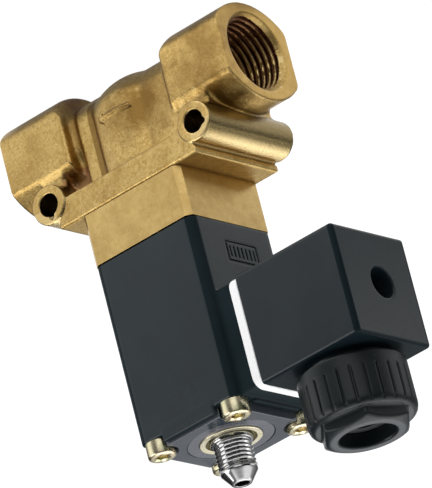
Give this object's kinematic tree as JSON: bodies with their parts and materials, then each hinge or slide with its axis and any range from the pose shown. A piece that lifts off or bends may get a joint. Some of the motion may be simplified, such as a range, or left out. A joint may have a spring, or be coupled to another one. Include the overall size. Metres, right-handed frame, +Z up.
{
  "type": "solenoid valve",
  "caption": "Brass servo solenoid valve: threaded through ports, flanged body, square coil, plug connector with cable gland and threaded exhaust nipple.",
  "frame": {"origin": "midway between the two mounting holes, on the coil axis, 16.15 mm above the axis of the two ports", "axes": "+X along the flow from inlet port to outlet port, +Z up the coil axis towards the exhaust nipple; the plug is on the -X side of the coil"},
  "size_m": [0.0905, 0.0324, 0.118],
  "materials": {
    "forged_brass": "cast satin",
    "machined_brass": "machined satin",
    "black_rubber": "matte",
    "red_rubber": "matte",
    "white_rubber": "matte",
    "ptfe": "satin",
    "spring_steel": "satin",
    "stainless": "turned satin",
    "bright_steel": "turned bright",
    "copper": "enamelled wire",
    "plated_steel": "satin",
    "dark_steel": "gloss",
    "grey_steel": "satin",
    "pale_gold": "passivated",
    "yellow_zinc": "yellow passivated",
    "tinned_brass": "satin",
    "coil_plastic": "satin moulded",
    "plug_plastic": "fine textured",
    "gland_plastic": "satin moulded",
    "pale_nylon": "satin",
    "grey_nylon": "satin"
  },
  "bodies": {
    "valve": {"valve_body": "forged_brass", "bonnet": "machined_brass", "bonnet_seal": "black_rubber", "main_spring": "spring_steel", "guide_tube": "stainless", "guide_tube_oring": "black_rubber", "plunger_spring": "spring_steel", "fixed_core": "stainless", "shading_ring": "copper", "exhaust_nipple": "bright_steel", "coil_housing": "coil_plastic", "lower_pole_plate": "plated_steel", "yoke_sleeve": "plated_steel", "coil_bobbin": "pale_nylon", "coil_winding": "copper", "end_plate": "dark_steel", "pole_washer": "grey_steel", "retaining_ring": "pale_gold", "housing_screws": "yellow_zinc", "terminal_blades": "tinned_brass", "connector_gasket": "white_rubber", "connector_housing": "plug_plastic", "terminal_block": "grey_nylon", "terminal_clamps": "machined_brass", "terminal_screws": "bright_steel", "connector_screw": "bright_steel", "screw_washer": "black_rubber", "cable_grommet": "black_rubber"},
    "piston": {"main_piston": "machined_brass", "piston_seat_seal": "black_rubber", "piston_ring": "ptfe"},
    "plunger": {"plunger": "stainless", "plunger_seal": "red_rubber"},
    "gland_ring": {"gland_ring": "gland_plastic"},
    "gland_nut": {"gland_nut": "gland_plastic"}
  },
  "joints": [
    {"name": "piston_lift", "type": "slide", "parent": "valve", "child": "piston", "axis": [0, 0, 1], "range_m": [0, 0.004], "deforming": ["main_spring"]},
    {"name": "plunger_lift", "type": "slide", "parent": "valve", "child": "plunger", "axis": [0, 0, 1], "range_m": [0, 0.0012], "deforming": ["plunger_spring"]},
    {"name": "gland_ring_slide", "type": "slide", "parent": "valve", "child": "gland_ring", "axis": [0, 0, 1], "range_m": [0, 0.00285]},
    {"name": "gland_nut_turn", "type": "hinge", "parent": "gland_ring", "child": "gland_nut", "pos_m": [-0.0392, 0, 0.07885], "axis": [0, 0, 1], "range_deg": [0, 720]}
  ],
  "couplings": [
    {"joint": "gland_ring_slide", "follows": "gland_nut_turn", "m_per_rad": 0.00022441}
  ]
}
